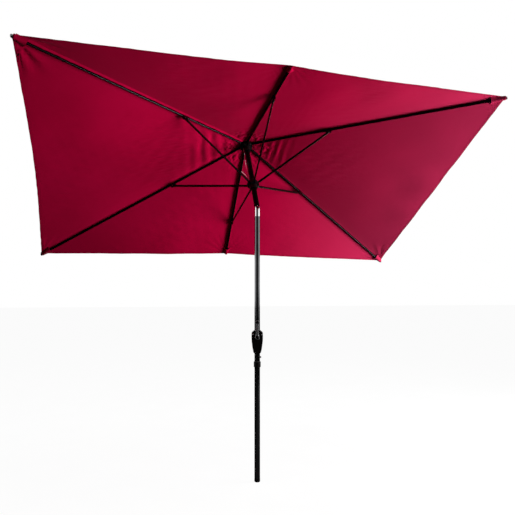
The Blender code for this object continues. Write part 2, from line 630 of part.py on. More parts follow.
def canopy_height(x, y):
    """Height of the canopy's underside above the rib hinges: flat panels from rib line to rib line."""
    corner, middle = rib_facts(1), rib_facts(0)
    corner_turn = rib_azimuth(1, 1)
    x, y = abs(x), abs(y)
    if atan2(y, x) < corner_turn:
        along_corner, along_middle = x / cos(corner_turn), 0.0
    else:
        along_corner = x / cos(corner_turn)
        along_middle = y - x * tan(corner_turn)
    total = along_corner + along_middle
    tops = [HINGE_RADIUS * tan(fact[0]) + (RIB_DEPTH / 2) / cos(fact[0]) for fact in (corner, middle)]
    apex = (along_corner * tops[0] + along_middle * tops[1]) / total if total else tops[0]
    return apex - along_corner * tan(corner[0]) - along_middle * tan(middle[0]) + CANOPY_LIFT


def rim_point(azimuth):
    """Where a ray at this azimuth leaves the canopy's rectangle."""
    reach_x = CANOPY_HALF_LENGTH / abs(cos(azimuth)) if abs(cos(azimuth)) > 1e-9 else 1e9
    reach_y = CANOPY_HALF_WIDTH / abs(sin(azimuth)) if abs(sin(azimuth)) > 1e-9 else 1e9
    reach = min(reach_x, reach_y)
    return reach * cos(azimuth), reach * sin(azimuth)


def canopy_sector(name, index, hub):
    """The cloth that one rib carries, from halfway to the rib before to halfway to the rib after."""
    azimuths = [rib_azimuth(x, y) for _, x, y in RIBS]
    mine = azimuths[index]
    before = azimuths[index - 1]
    after = azimuths[(index + 1) % len(RIBS)]
    low = mine - ((mine - before) % (2 * pi)) / 2
    high = mine + ((after - mine) % (2 * pi)) / 2
    edge_gap = 0.004
    fan = [low, (low + mine) / 2, mine, (mine + high) / 2, high]
    shifts = [edge_gap, 0, 0, 0, -edge_gap]
    bm = bmesh.new()
    rows = []
    steps = 4
    for step in range(steps + 1):
        share = step / steps
        row = []
        for azimuth, shift in zip(fan, shifts):
            rim_x, rim_y = rim_point(azimuth)
            reach = CANOPY_MOUTH + (hypot(rim_x, rim_y) - CANOPY_MOUTH) * share
            across = shift * (0.15 + 0.85 * share)
            x = reach * cos(azimuth) - across * sin(azimuth)
            y = reach * sin(azimuth) + across * cos(azimuth)
            under = canopy_height(x, y)
            row.append((bm.verts.new((x, y, under)), bm.verts.new((x, y, under + CANOPY_THICKNESS))))
        rows.append(row)
    count = len(fan)
    for near, far in zip(rows, rows[1:]):
        for k in range(count - 1):
            bm.faces.new((near[k][1], far[k][1], far[k + 1][1], near[k + 1][1]))
            bm.faces.new((near[k][0], near[k + 1][0], far[k + 1][0], far[k][0]))
        for k in (0, count - 1):
            bm.faces.new((near[k][0], far[k][0], far[k][1], near[k][1]))
    for row in (rows[0], rows[-1]):
        for k in range(count - 1):
            bm.faces.new((row[k][0], row[k][1], row[k + 1][1], row[k + 1][0]))
    finish_mesh(f"canopy_{name}", bm, "canopy_cloth", hub, 60)


def build():
    root = station("umbrella")
    pole = lower_pole(root)
    pole_collar(root)
    trunk = main_pole(root)
    side = station("snap_button_axis", root, (0, 0, SNAP_BUTTON_HEIGHT), (0, 0, CRANK_TURN))
    snap_button(side, (pole, trunk))
    front = station("crank_front", root, (0, 0, 0), (0, 0, CRANK_TURN))
    crank_housing(front)
    crank(front, trunk)
    pivot = station("tilt_pivot", root, (0, 0, PIVOT_HEIGHT))
    tilt_clevis(pivot)
    lift_cord_below(CRANK_TURN, root)

    mast = station("mast", root, (0, 0, PIVOT_HEIGHT), (-TILT, 0, 0))
    tilt_knuckle(mast)
    tilt_button(mast)
    upper_pole(mast)
    hub = station("hub", mast, (0, 0, MAST_LENGTH))
    rib_hub(hub)
    pulley(hub)
    finial(hub)
    lift_cord_above(mast, hub)
    slide = station("runner_slide", hub, (0, 0, -RUNNER_DROP))
    runner(slide)
    for index, (name, along_x, along_y) in enumerate(RIBS):
        rib(name, along_x, along_y, hub)
        stretcher(name, along_x, along_y, slide)
        canopy_sector(name, index, hub)


clear_scene()
MATERIALS = make_materials()
build()
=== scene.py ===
"""Looks of the rectangular crank-and-tilt patio umbrella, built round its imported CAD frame."""

import json
from math import atan2, copysign, cos, hypot, pi, radians, sin, tan

import bmesh
import bpy
import numpy as np
from mathutils import Matrix, Vector


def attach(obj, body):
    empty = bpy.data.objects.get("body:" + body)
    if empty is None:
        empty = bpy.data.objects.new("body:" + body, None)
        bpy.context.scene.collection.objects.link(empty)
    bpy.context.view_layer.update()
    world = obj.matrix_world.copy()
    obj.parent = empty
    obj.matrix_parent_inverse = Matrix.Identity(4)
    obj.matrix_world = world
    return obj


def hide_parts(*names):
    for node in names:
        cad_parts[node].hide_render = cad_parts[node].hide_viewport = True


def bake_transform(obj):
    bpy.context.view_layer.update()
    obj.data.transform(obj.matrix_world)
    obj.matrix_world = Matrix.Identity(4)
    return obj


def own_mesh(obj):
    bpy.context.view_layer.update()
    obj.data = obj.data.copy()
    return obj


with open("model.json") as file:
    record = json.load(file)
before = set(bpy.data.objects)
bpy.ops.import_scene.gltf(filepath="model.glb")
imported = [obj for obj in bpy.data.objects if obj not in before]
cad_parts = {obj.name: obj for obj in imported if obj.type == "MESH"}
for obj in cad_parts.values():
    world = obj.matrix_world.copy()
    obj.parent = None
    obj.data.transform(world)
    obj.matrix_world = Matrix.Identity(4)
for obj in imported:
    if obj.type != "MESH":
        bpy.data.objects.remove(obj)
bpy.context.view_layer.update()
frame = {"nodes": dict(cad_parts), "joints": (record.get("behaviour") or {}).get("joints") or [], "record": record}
JOINTS = {joint["name"]: joint for joint in frame["joints"]}

# Canopy, in metres, counted from the plane of the rib hinges
HALF_LENGTH, HALF_WIDTH = 1.500, 0.975
CORNER_DROP, MIDDLE_DROP = 0.382, 0.342
HINGE_RADIUS = 0.035
RIB_WIDTH, RIB_DEPTH = 0.012, 0.018
STRETCHER_WIDTH, STRETCHER_DEPTH = 0.010, 0.015
CANOPY_LIFT = 0.0024  # cloth above the top of the ribs
CLOTH_THICKNESS = 0.0008
MOUTH = 0.026  # radius of the cloth's centre hole
RIM_STEP = 0.020  # width of a cell of cloth at the rim
ROWS = 112  # cells from the mouth to the rim
HEM_WIDTH = 0.020
CORNER_CUT = -0.003  # how far the cloth's corner is short of the square corner
RIBS = {  # name: side along X and along the canopy's width
    "near_left": (-1, -1),
    "near_middle": (0, -1),
    "near_right": (1, -1),
    "far_right": (1, 1),
    "far_middle": (0, 1),
    "far_left": (-1, 1),
}
NAMES = list(RIBS)


# The tilted frame of the hub


def joint_point(name):
    return Vector(JOINTS[name]["pos_m"])


def hub_matrix():
    """The canopy's frame: X along its long side, Z up the mast, origin between the rib hinges."""
    up = -Vector(JOINTS["runner_slide"]["axis"]).normalized()
    along = Vector(JOINTS["canopy_tilt"]["axis"]).normalized()
    across = up.cross(along)
    centre = sum((joint_point(f"rib_{name}_fold") for name in NAMES), Vector()) / len(NAMES)
    made = Matrix((along, across, up)).transposed().to_4x4()
    made.translation = centre
    return made


HUB = hub_matrix()


def turn_about_mast(azimuth):
    return HUB @ Matrix.Rotation(azimuth, 4, "Z")


# Mesh building


def make_piece(name, points, faces, material, matrix=None, smooth_angle=40, normals=None, uvs=None):
    """A mesh from points and faces given in the matrix's frame."""
    mesh = bpy.data.meshes.new(name)
    mesh.from_pydata([tuple(p) for p in points], [], [tuple(f) for f in faces])
    mesh.validate()
    if uvs is not None:
        layer = mesh.uv_layers.new(name="UVMap")
        flat = np.array([uvs[loop.vertex_index] for loop in mesh.loops], float)
        layer.data.foreach_set("uv", flat.ravel())
    if matrix is not None:
        mesh.transform(matrix)
    mesh.shade_smooth()
    mesh.set_sharp_from_angle(angle=radians(smooth_angle))
    obj = bpy.data.objects.new(name, mesh)
    bpy.context.scene.collection.objects.link(obj)
    mesh.materials.append(material)
    if normals is not None:
        mesh.normals_split_custom_set(normals)
    return obj


def ring_faces(rings, around, closed=True, capped=True):
    """Quads between rings that each have the same number of points, with a flat cap at both ends."""
    faces = []
    last = around if closed else around - 1
    for ring in range(rings - 1):
        for k in range(last):
            n = (k + 1) % around
            low, high = ring * around, (ring + 1) * around
            faces.append((low + k, low + n, high + n, high + k))
    if capped:
        faces.append(tuple(reversed(range(around))))
        faces.append(tuple(range((rings - 1) * around, rings * around)))
    return faces


def lofted(name, rings, material, matrix=None, smooth_angle=40, capped=True, closed=True):
    points = [p for ring in rings for p in ring]
    faces = ring_faces(len(rings), len(rings[0]), closed, capped)
    return make_piece(name, points, faces, material, matrix, smooth_angle)


def filleted(outline, radius, steps=4):
    """A closed outline with each corner rounded by up to this radius."""
    made = []
    count = len(outline)
    for k in range(count):
        corner = Vector(outline[k])
        before, after = Vector(outline[k - 1]), Vector(outline[(k + 1) % count])
        back = (before - corner) * min(radius / (before - corner).length, 0.45)
        on = (after - corner) * min(radius / (after - corner).length, 0.45)
        for step in range(steps + 1):
            t = step / steps
            made.append(tuple(corner + back * (1 - t) ** 2 + on * t ** 2))
    return made


def turned(name, profile, fillet, material, matrix, segments=32):
    """A solid of revolution about the matrix's Z from a closed outline of (radius, height)."""
    outline = filleted(profile, fillet)
    points = []
    for k in range(segments):
        angle = 2 * pi * k / segments
        points += [(max(r, 0) * cos(angle), max(r, 0) * sin(angle), z) for r, z in outline]
    count = len(outline)
    faces = []
    for k in range(segments):
        for m in range(count):
            n = (m + 1) % count
            here, there = k * count, ((k + 1) % segments) * count
            faces.append((here + m, there + m, there + n, here + n))
    obj = make_piece(name, points, faces, material, matrix)
    tidy(obj)
    return obj


def tidy(obj, distance=1e-6):
    """Merges points that lie on each other and turns every face outwards."""
    bm = bmesh.new()
    bm.from_mesh(obj.data)
    bmesh.ops.remove_doubles(bm, verts=bm.verts, dist=distance)
    bmesh.ops.dissolve_degenerate(bm, dist=distance, edges=bm.edges)
    bmesh.ops.recalc_face_normals(bm, faces=bm.faces)
    bm.to_mesh(obj.data)
    bm.free()


# Materials


def shader_material(name):
    mat = bpy.data.materials.new(name)
    mat.use_nodes = True
    tree = mat.node_tree
    return mat, tree, tree.nodes["Principled BSDF"]


def add_node(tree, kind, **values):
    node = tree.nodes.new(kind)
    for key, value in values.items():
        if key in node.inputs:
            node.inputs[key].default_value = value
        else:
            setattr(node, key, value)
    return node


def noise_of(tree, coordinate, scale, detail=4.0, roughness=0.5):
    node = add_node(tree, "ShaderNodeTexNoise", Scale=scale, Detail=detail, Roughness=roughness)
    tree.links.new(coordinate, node.inputs["Vector"])
    return node.outputs["Fac"]


def ramp_of(tree, source, low, high, at=(0.35, 0.65)):
    """Colours from low to high as source rises from at[0] to at[1]."""
    node = tree.nodes.new("ShaderNodeValToRGB")
    node.color_ramp.elements[0].position = at[0]
    node.color_ramp.elements[1].position = at[1]
    node.color_ramp.elements[0].color = (*low, 1)
    node.color_ramp.elements[1].color = (*high, 1)
    tree.links.new(source, node.inputs["Fac"])
    return node.outputs["Color"]


def range_of(tree, source, low, high, start=0, end=1):
    node = add_node(tree, "ShaderNodeMapRange")
    node.inputs["From Min"].default_value = start
    node.inputs["From Max"].default_value = end
    node.inputs["To Min"].default_value = low
    node.inputs["To Max"].default_value = high
    tree.links.new(source, node.inputs["Value"])
    return node.outputs["Result"]


def math_of(tree, operation, first, second):
    node = tree.nodes.new("ShaderNodeMath")
    node.operation = operation
    for socket, value in zip(node.inputs, (first, second)):
        if isinstance(value, (int, float)):
            socket.default_value = value
        else:
            tree.links.new(value, socket)
    return node.outputs[0]


def bump_of(tree, height, distance, strength=1.0, after=None):
    node = add_node(tree, "ShaderNodeBump", Distance=distance, Strength=strength)
    tree.links.new(height, node.inputs["Height"])
    if after:
        tree.links.new(after, node.inputs["Normal"])
    return node.outputs["Normal"]


def object_coordinates(tree):
    return tree.nodes.new("ShaderNodeTexCoord").outputs["Object"]


PAINTED_SHEEN = (0.375, 0.016, 0.062)  # painted sheen: the pale, hazy colour the cloth is mixed towards at its +X end, standing in for light on that end
PAINTED_SHEEN_ALONG = (0.25, 1.45)  # X where the painted sheen starts and ends
PAINTED_SHADE_ALONG = (-1.5, -0.75)  # X between which the painted shade goes from its darkest to none
# scale of the colour: painted shade at the -X end, and a little brighter than full over the rest of the canopy
PAINTED_SHADE_RANGE = (0.76, 1.05)
PAINTED_SHADE_LEAN = 0.40  # how far the painted shade reaches in per metre towards +Y


def cloth_material(name, low, high, painted_sheen_share, translucency):
    """Woven polyester: fine two-way weave, slight tone changes, small puckers, soft sheen, with a painted sheen
    towards the +X end and painted shade towards the -X end.
    """
    mat, tree, shader = shader_material(name)
    links = tree.links
    place = object_coordinates(tree)
    uv = tree.nodes.new("ShaderNodeTexCoord").outputs["UV"]
    tone = noise_of(tree, place, 2.2, 3.0)
    colour = ramp_of(tree, tone, low, high, (0.3, 0.7))
    apart = tree.nodes.new("ShaderNodeSeparateXYZ")
    links.new(place, apart.inputs["Vector"])
    # painted sheen: the colour goes towards a pale hazy tone along +X, as if more light fell on that end
    painted_sheen_mix = add_node(tree, "ShaderNodeMix", data_type="RGBA")
    painted_sheen_mix.inputs["B"].default_value = (*(painted_sheen_share * part for part in PAINTED_SHEEN), 1)
    links.new(colour, painted_sheen_mix.inputs["A"])
    links.new(range_of(tree, apart.outputs["X"], 0, 1, *PAINTED_SHEEN_ALONG), painted_sheen_mix.inputs["Factor"])
    # painted shade: the colour darkens towards the canopy's -X end, reaching further in on the +Y side
    painted_shade_scale = add_node(tree, "ShaderNodeVectorMath", operation="SCALE")
    links.new(painted_sheen_mix.outputs["Result"], painted_shade_scale.inputs[0])
    farther = math_of(tree, "MULTIPLY", math_of(tree, "MAXIMUM", apart.outputs["Y"], 0), PAINTED_SHADE_LEAN)
    outward = math_of(tree, "SUBTRACT", apart.outputs["X"], farther)
    links.new(range_of(tree, outward, *PAINTED_SHADE_RANGE, *PAINTED_SHADE_ALONG), painted_shade_scale.inputs["Scale"])
    colour = painted_shade_scale.outputs["Vector"]
    links.new(colour, shader.inputs["Base Color"])
    shader.inputs["Roughness"].default_value = 0.55
    shader.inputs["Specular IOR Level"].default_value = 0.06
    shader.inputs["Specular Tint"].default_value = (1.0, 0.35, 0.50, 1)
    shader.inputs["Sheen Weight"].default_value = 0.035
    shader.inputs["Sheen Roughness"].default_value = 0.35
    shader.inputs["Sheen Tint"].default_value = (1.0, 0.30, 0.45, 1)
    warp = add_node(tree, "ShaderNodeTexWave", Scale=420.0, Distortion=0.4, bands_direction="X")
    weft = add_node(tree, "ShaderNodeTexWave", Scale=420.0, Distortion=0.4, bands_direction="Y")
    for thread in (warp, weft):
        links.new(uv, thread.inputs["Vector"])
    weave = math_of(tree, "MULTIPLY", warp.outputs["Fac"], weft.outputs["Fac"])
    puckers = noise_of(tree, place, 38.0, 5.0, 0.55)
    normal = bump_of(tree, puckers, 0.0011, 0.55)
    normal = bump_of(tree, weave, 0.00025, 0.35, normal)
    links.new(normal, shader.inputs["Normal"])
    glow = add_node(tree, "ShaderNodeBsdfTranslucent")
    links.new(colour, glow.inputs["Color"])
    links.new(normal, glow.inputs["Normal"])
    mix = tree.nodes.new("ShaderNodeMixShader")
    mix.inputs["Fac"].default_value = translucency
    links.new(shader.outputs["BSDF"], mix.inputs[1])
    links.new(glow.outputs["BSDF"], mix.inputs[2])
    links.new(mix.outputs["Shader"], tree.nodes["Material Output"].inputs["Surface"])
    return mat


def coated_material(name, low, high, roughness, metallic=0.0, grain=900.0, depth=0.00006, specular=0.5):
    """A coated or moulded surface: tone and gloss that vary a little, and a fine grain."""
    mat, tree, shader = shader_material(name)
    place = object_coordinates(tree)
    tone = noise_of(tree, place, 9.0, 6.0, 0.6)
    tree.links.new(ramp_of(tree, tone, low, high), shader.inputs["Base Color"])
    smear = noise_of(tree, place, 26.0, 3.0, 0.65)
    tree.links.new(range_of(tree, smear, roughness * 0.75, roughness * 1.3), shader.inputs["Roughness"])
    shader.inputs["Metallic"].default_value = metallic
    shader.inputs["Specular IOR Level"].default_value = specular
    fine = noise_of(tree, place, grain, 2.0)
    tree.links.new(bump_of(tree, fine, depth, 0.6), shader.inputs["Normal"])
    return mat


CLOTHS = {  # low and high colour, share of the painted sheen colour, translucency
    "canopy_cloth": ((0.335, 0.0009, 0.0275), (0.385, 0.0013, 0.034), 1.0, 0.03),
    "canopy_hem": ((0.295, 0.0008, 0.024), (0.34, 0.0012, 0.030), 0.85, 0.02),
}
COATINGS = {  # low and high colour, roughness, then what differs from the usual
    "black_steel": ((0.0014, 0.0008, 0.0009), (0.0026, 0.0018, 0.0020), 0.12, 0.0, 500.0, 0.00002, 0.07),
    "dark_pole": ((0.125, 0.127, 0.132), (0.165, 0.168, 0.174), 0.13, 1.0, 500.0, 0.00001),
    "chrome": ((0.78, 0.77, 0.77), (0.88, 0.87, 0.87), 0.07, 1.0, 500.0, 0.00001),
    "bright_steel": ((0.46, 0.46, 0.47), (0.58, 0.58, 0.59), 0.26, 1.0),
    "black_plastic": ((0.0030, 0.0022, 0.0024), (0.006, 0.005, 0.0055), 0.30, 0.0, 900.0, 0.00006, 0.22),
    "grey_arm": ((0.50, 0.50, 0.51), (0.60, 0.60, 0.61), 0.30, 0.75),
    "pale_cord": ((0.86, 0.72, 0.74), (0.94, 0.82, 0.84), 0.7, 0.0, 1400.0, 0.0004),
}


def make_materials():
    made = {name: cloth_material(name, *facts) for name, facts in CLOTHS.items()}
    for name, facts in COATINGS.items():
        made[name] = coated_material(name, *facts)
    return made


# Canopy cloth


def rib_azimuth(name):
    along_x, along_y = RIBS[name]
    return atan2(along_y * HALF_WIDTH, along_x * HALF_LENGTH)


def rib_slope(name):
    corner = RIBS[name][0] != 0
    reach = hypot(HALF_LENGTH, HALF_WIDTH) if corner else HALF_WIDTH
    return atan2(CORNER_DROP if corner else MIDDLE_DROP, reach - HINGE_RADIUS)


CORNER_TURN = rib_azimuth("far_right")
SLOPES = rib_slope("far_right"), rib_slope("far_middle")
AZIMUTHS = [rib_azimuth(name) for name in NAMES]


def flat_height(x, y):
    """Underside of the taut cloth, flat from rib line to rib line."""
    x, y = np.abs(x), np.abs(y)
    along_corner = x / cos(CORNER_TURN)
    along_middle = np.maximum(y - x * tan(CORNER_TURN), 0)
    total = np.maximum(along_corner + along_middle, 1e-9)
    tops = [HINGE_RADIUS * tan(slope) + RIB_DEPTH / 2 / cos(slope) for slope in SLOPES]
    apex = (along_corner * tops[0] + along_middle * tops[1]) / total
    return apex - along_corner * tan(SLOPES[0]) - along_middle * tan(SLOPES[1]) + CANOPY_LIFT


def rim_reach(azimuth):
    """Distance from the mast to the rectangle's edge."""
    reach_x = HALF_LENGTH / np.maximum(np.abs(np.cos(azimuth)), 1e-9)
    reach_y = HALF_WIDTH / np.maximum(np.abs(np.sin(azimuth)), 1e-9)
    return np.minimum(reach_x, reach_y)


def panel_place(x, y):
    """Which panel a point is in, its share from rib to rib, and its share from mast to rim."""
    azimuth = np.arctan2(y, x)
    panel = np.zeros(azimuth.shape, int)
    share = np.zeros(azimuth.shape)
    for k in range(len(NAMES)):
        start, end = AZIMUTHS[k], AZIMUTHS[(k + 1) % len(NAMES)]
        span = (end - start) % (2 * pi)
        turn = (azimuth - start) % (2 * pi)
        inside = turn <= span
        panel = np.where(inside, k, panel)
        share = np.where(inside, turn / span, share)
    return panel, np.clip(share, 0, 1), np.hypot(x, y) / rim_reach(azimuth)


def waves(x, y, seed, scale, count=7):
    """Smooth wandering numbers from about -1 to 1, made of a few sine waves in random directions."""
    rng = np.random.default_rng(seed)
    total = np.zeros(np.shape(x))
    for _ in range(count):
        turn, phase = rng.uniform(0, 2 * pi), rng.uniform(0, 2 * pi)
        pitch = rng.uniform(0.7, 1.5) / scale
        total += np.sin(2 * pi * pitch * (x * cos(turn) + y * sin(turn)) + phase)
    return total / count ** 0.5 / 1.2


def near(value, centre, width):
    return np.exp(-(((value - centre) / width) ** 2))


PANELS = {  # panel after each rib: (sag, cross folds, fine lines, middle of the folds)
    "near_left": (0.010, 0.07, 0.5, 0.24),
    "near_middle": (0.009, 0.07, 0.4, 0.24),
    "near_right": (0.020, 1.25, 0.8, 0.21),
    "far_right": (0.010, 0.05, 0.3, 0.24),
    "far_middle": (0.012, 0.05, 0.3, 0.24),
    "far_left": (0.026, 2.1, 1.5, 0.28),
}
PLEATS = {  # at each rib's end: (height, number round the corner)
    "near_left": (0.0068, 15),
    "near_middle": (0.0006, 21),
    "near_right": (0.0002, 19),
    "far_right": (0.0026, 17),
    "far_middle": (0.0008, 21),
    "far_left": (0.0016, 17),
}


# Folds across the panels: on the canopy's -X side, and on its +X side
FOLD_PITCH = (0.088, 0.055)
FOLD_PHASE = (0.74, -0.86)
FOLD_HEIGHT = (1, -0.7)
FOLD_REACH = (0.15, 0.105)  # from the middle of the folds along X
FOLD_LEAN = 0.18  # of the -X side's folds, towards the short edge per metre of Y


def crease(phase):
    """A fold's section: mostly a soft wave, with a sharper line along its crest."""
    return 0.50 * np.sin(phase) + 0.60 * (np.abs(np.sin((phase - pi) / 2)) - 0.64)


def cloth_offset(x, y):
    """How far the cloth stands off its flat panels: sag, folds near the hub, puckers at the corners."""
    panel, share, out = panel_place(x, y)
    between = np.sin(pi * share)
    sag, folds, lines, middle = (np.array([PANELS[name][k] for name in NAMES])[panel] for k in range(4))
    radius = np.hypot(x, y)
    across = np.abs(x)
    offset = -sag * between ** 1.3 * out ** 0.8 * (1.25 - 0.55 * out)
    bend = across + np.where(x < 0, FOLD_LEAN * y, 0.0) + 0.004 * waves(x, y, 11, 0.30)
    sides = FOLD_PITCH, FOLD_PHASE, FOLD_HEIGHT, FOLD_REACH
    pitch, phase, height, reach = (np.where(x < 0, left, right) for left, right in sides)
    fold = height * crease(2 * pi * bend / pitch + phase) * near(across, middle, reach)
    offset += 0.0062 * folds * fold * between ** 0.7 * (1 + 0.45 * waves(x, y, 12, 0.16))
    ridges = np.abs(waves(x, y, 22, 0.045, 7)) - 0.5
    crumple = 0.8 * waves(x, y, 21, 0.060, 9) + 1.3 * ridges
    clear_of_hub = np.clip((radius - 0.045) / 0.030, 0, 1)
    offset += 0.0042 * crumple * near(radius, 0.115, 0.075) * np.minimum(between * 3, 1) * clear_of_hub
    thin = waves(0.22 * x, y, 31, 0.034, 9) * near(across, 0.60, 0.27)
    offset += 0.0011 * lines * thin * between
    offset += 0.0026 * waves(x, y, 41, 0.36) * between * out
    offset += np.where(x < 0, 0.0006, 0.0002) * waves(x, y, 42, 0.11, 9) * between
    for name, (along_x, along_y) in RIBS.items():
        corner = HALF_LENGTH * along_x, HALF_WIDTH * along_y
        distance = np.hypot(x - corner[0], y - corner[1])
        turn = np.arctan2(y - corner[1], x - corner[0])
        height, number = PLEATS[name]
        pleats = np.sin(turn * number + 2.0 * along_x + along_y)
        offset += height * pleats * near(distance, 0.12, 0.10) * np.minimum(between * 8, 1)
    return offset


RIM_BOW = (0.006, 0.006, 0.009, 0.005, 0.006, 0.021)  # of the panel after each rib


def rim_pull(x, y):
    """Share by which the cloth is drawn in towards the mast, so that each edge bows in between ribs."""
    panel, share, out = panel_place(x, y)
    bow = np.array(RIM_BOW)[panel]
    drawn = bow * np.sin(pi * share) * out ** 2
    drawn = drawn + 0.0007 * waves(x, y, 51, 0.085) * np.minimum(6 * np.sin(pi * share), 1) * out ** 8
    for along_x, along_y in RIBS.values():
        if along_x:
            distance = np.hypot(x - HALF_LENGTH * along_x, y - HALF_WIDTH * along_y)
            drawn = drawn + CORNER_CUT / hypot(HALF_LENGTH, HALF_WIDTH) * near(distance, 0, 0.022)
    return drawn


def cloth_point(x, y, above=0.0):
    """The cloth's underside at a place in the hub's plane, and that much above it, as (n, 3)."""
    pull = 1 - rim_pull(x, y)
    height = flat_height(x, y) + cloth_offset(x, y)
    return np.stack([x * pull, y * pull, height + above], axis=-1)


def inside_panel(x, y, panel, margin=0.004):
    """The same places, moved into their panel where they are within a margin of a rib line."""
    start, end = np.array(AZIMUTHS)[panel], np.array(AZIMUTHS)[(panel + 1) % 6]
    for line, side in ((start, 1), (end, -1)):
        off_line = side * (np.cos(line) * y - np.sin(line) * x)
        lack = np.maximum(margin - off_line, 0)
        x = x - side * np.sin(line) * lack
        y = y + side * np.cos(line) * lack
    return x, y


def cloth_normal(x, y, panel, step=0.0015):
    """Upward normals of the cloth, each taken inside its own panel."""
    x, y = inside_panel(x, y, panel)
    along = cloth_point(x + step, y) - cloth_point(x - step, y)
    across = cloth_point(x, y + step) - cloth_point(x, y - step)
    normal = np.cross(along, across)
    return normal / np.linalg.norm(normal, axis=-1, keepdims=True)


def row_shares():
    """Shares from mouth to rim, closer together near the hub."""
    even = np.linspace(0, 1, ROWS + 1)
    return 0.45 * even + 0.55 * even ** 1.6


def half_panel(rib, side):
    """Places from the rib line to the line halfway to the next rib, mouth to rim, as rows by columns."""
    index = NAMES.index(rib)
    mine = AZIMUTHS[index]
    span = ((AZIMUTHS[(index + side) % len(NAMES)] - mine) * side) % (2 * pi)
    ends = []
    for azimuth in (mine, mine + side * span / 2):
        ends.append(rim_reach(azimuth) * np.array([cos(azimuth), sin(azimuth)]))
    count = round(float(np.linalg.norm(ends[1] - ends[0])) / RIM_STEP)
    rim = ends[0] + (ends[1] - ends[0]) * np.linspace(0, 1, count + 1)[:, None]
    mouth = rim / np.linalg.norm(rim, axis=1, keepdims=True) * MOUTH
    return mouth + (rim - mouth) * row_shares()[:, None, None]


def sector(rib):
    """(places, panels): the cloth that one rib carries, and the panel of each column of cells."""
    index = NAMES.index(rib)
    before, after = half_panel(rib, -1), half_panel(rib, 1)
    places = np.concatenate([before[:, ::-1], after[:, 1:]], axis=1)
    panels = [(index - 1) % len(NAMES)] * (before.shape[1] - 1) + [index] * (after.shape[1] - 1)
    return places, np.array(panels)


def shell_faces(rows, columns):
    """Faces of a closed thin shell: its top grid, its bottom grid and the walls round the border."""
    count = rows * columns
    grid = np.arange(count).reshape(rows, columns)
    cells = [grid[:-1, :-1], grid[1:, :-1], grid[1:, 1:], grid[:-1, 1:]]
    bottom = np.stack([cell.ravel() for cell in reversed(cells)], axis=1)
    top = np.stack([cell.ravel() for cell in cells], axis=1) + count
    walls = []
    for line in (grid[:, 0], grid[-1, :], grid[::-1, -1], grid[0, ::-1]):
        start, end = line[:-1], line[1:]
        walls.append(np.stack([end + count, start + count, start, end], axis=1))
    return top, bottom, np.concatenate(walls)


def cloth_sector(name, material):
    """One rib's cloth, shaded as part of one continuous sheet that creases only along the ribs."""
    places, panels = sector(name)
    rows, columns = places.shape[:2]
    x, y = places[..., 0], places[..., 1]
    under = cloth_point(x, y).reshape(-1, 3)
    first = np.full(x.shape, panels[0])
    last = np.full(x.shape, panels[-1])
    sides = [cloth_normal(x.ravel(), y.ravel(), panel.ravel()) for panel in (first, last)]
    upward = (sides[0] + sides[1]) / 2
    points = np.concatenate([under, under + upward * CLOTH_THICKNESS])
    top, bottom, walls = shell_faces(rows, columns)
    of_cell = np.tile(panels == panels[-1], rows - 1)
    spin = np.array(HUB.to_3x3())
    normals = []
    for faces, sign in ((top, 1), (bottom, -1)):
        spots = faces % (rows * columns)
        here = np.where(of_cell[:, None, None], sides[1][spots], sides[0][spots])
        normals.append(sign * here.reshape(-1, 3) @ spin.T)
    normals.append(np.zeros((walls.size, 3)))
    uvs = np.tile(places.reshape(-1, 2), (2, 1))
    faces = np.concatenate([top, bottom, walls])
    return make_piece(f"cloth_{name}", points, faces, material, HUB, 40, np.concatenate(normals), uvs)


def shell(name, grid, thickness, material):
    """A closed thin shell over a grid of points in the canopy's frame, thickened on both sides."""
    grid = np.asarray(grid, float)
    rows, columns = grid.shape[:2]
    normal = np.cross(np.gradient(grid, axis=0), np.gradient(grid, axis=1))
    normal /= np.maximum(np.linalg.norm(normal, axis=-1, keepdims=True), 1e-12)
    half = normal * thickness / 2
    points = np.concatenate([(grid - half).reshape(-1, 3), (grid + half).reshape(-1, 3)])
    faces = np.concatenate(shell_faces(rows, columns))
    return make_piece(name, points, faces, material, HUB, 50)


HEM_SECTION = (  # (in from the edge, above the cloth's underside)
    (HEM_WIDTH - 0.0006, 0.0005),
    (HEM_WIDTH, 0.0002),
    (HEM_WIDTH - 0.0006, -0.0001),
    (HEM_WIDTH - 0.0090, -0.0011),
    (0.0040, -0.0012),
    (-0.0003, -0.0012),
    (-0.0007, -0.0008),
    (-0.0006, 0.0002),
    (-0.0004, 0.0009),
    (0.0004, 0.0012),
    (0.0022, 0.0012),
    (0.0030, 0.0007),
)
HEM_UNDER = (1, 2, 3, 4, 5)  # the places of the section that lie flat under the cloth


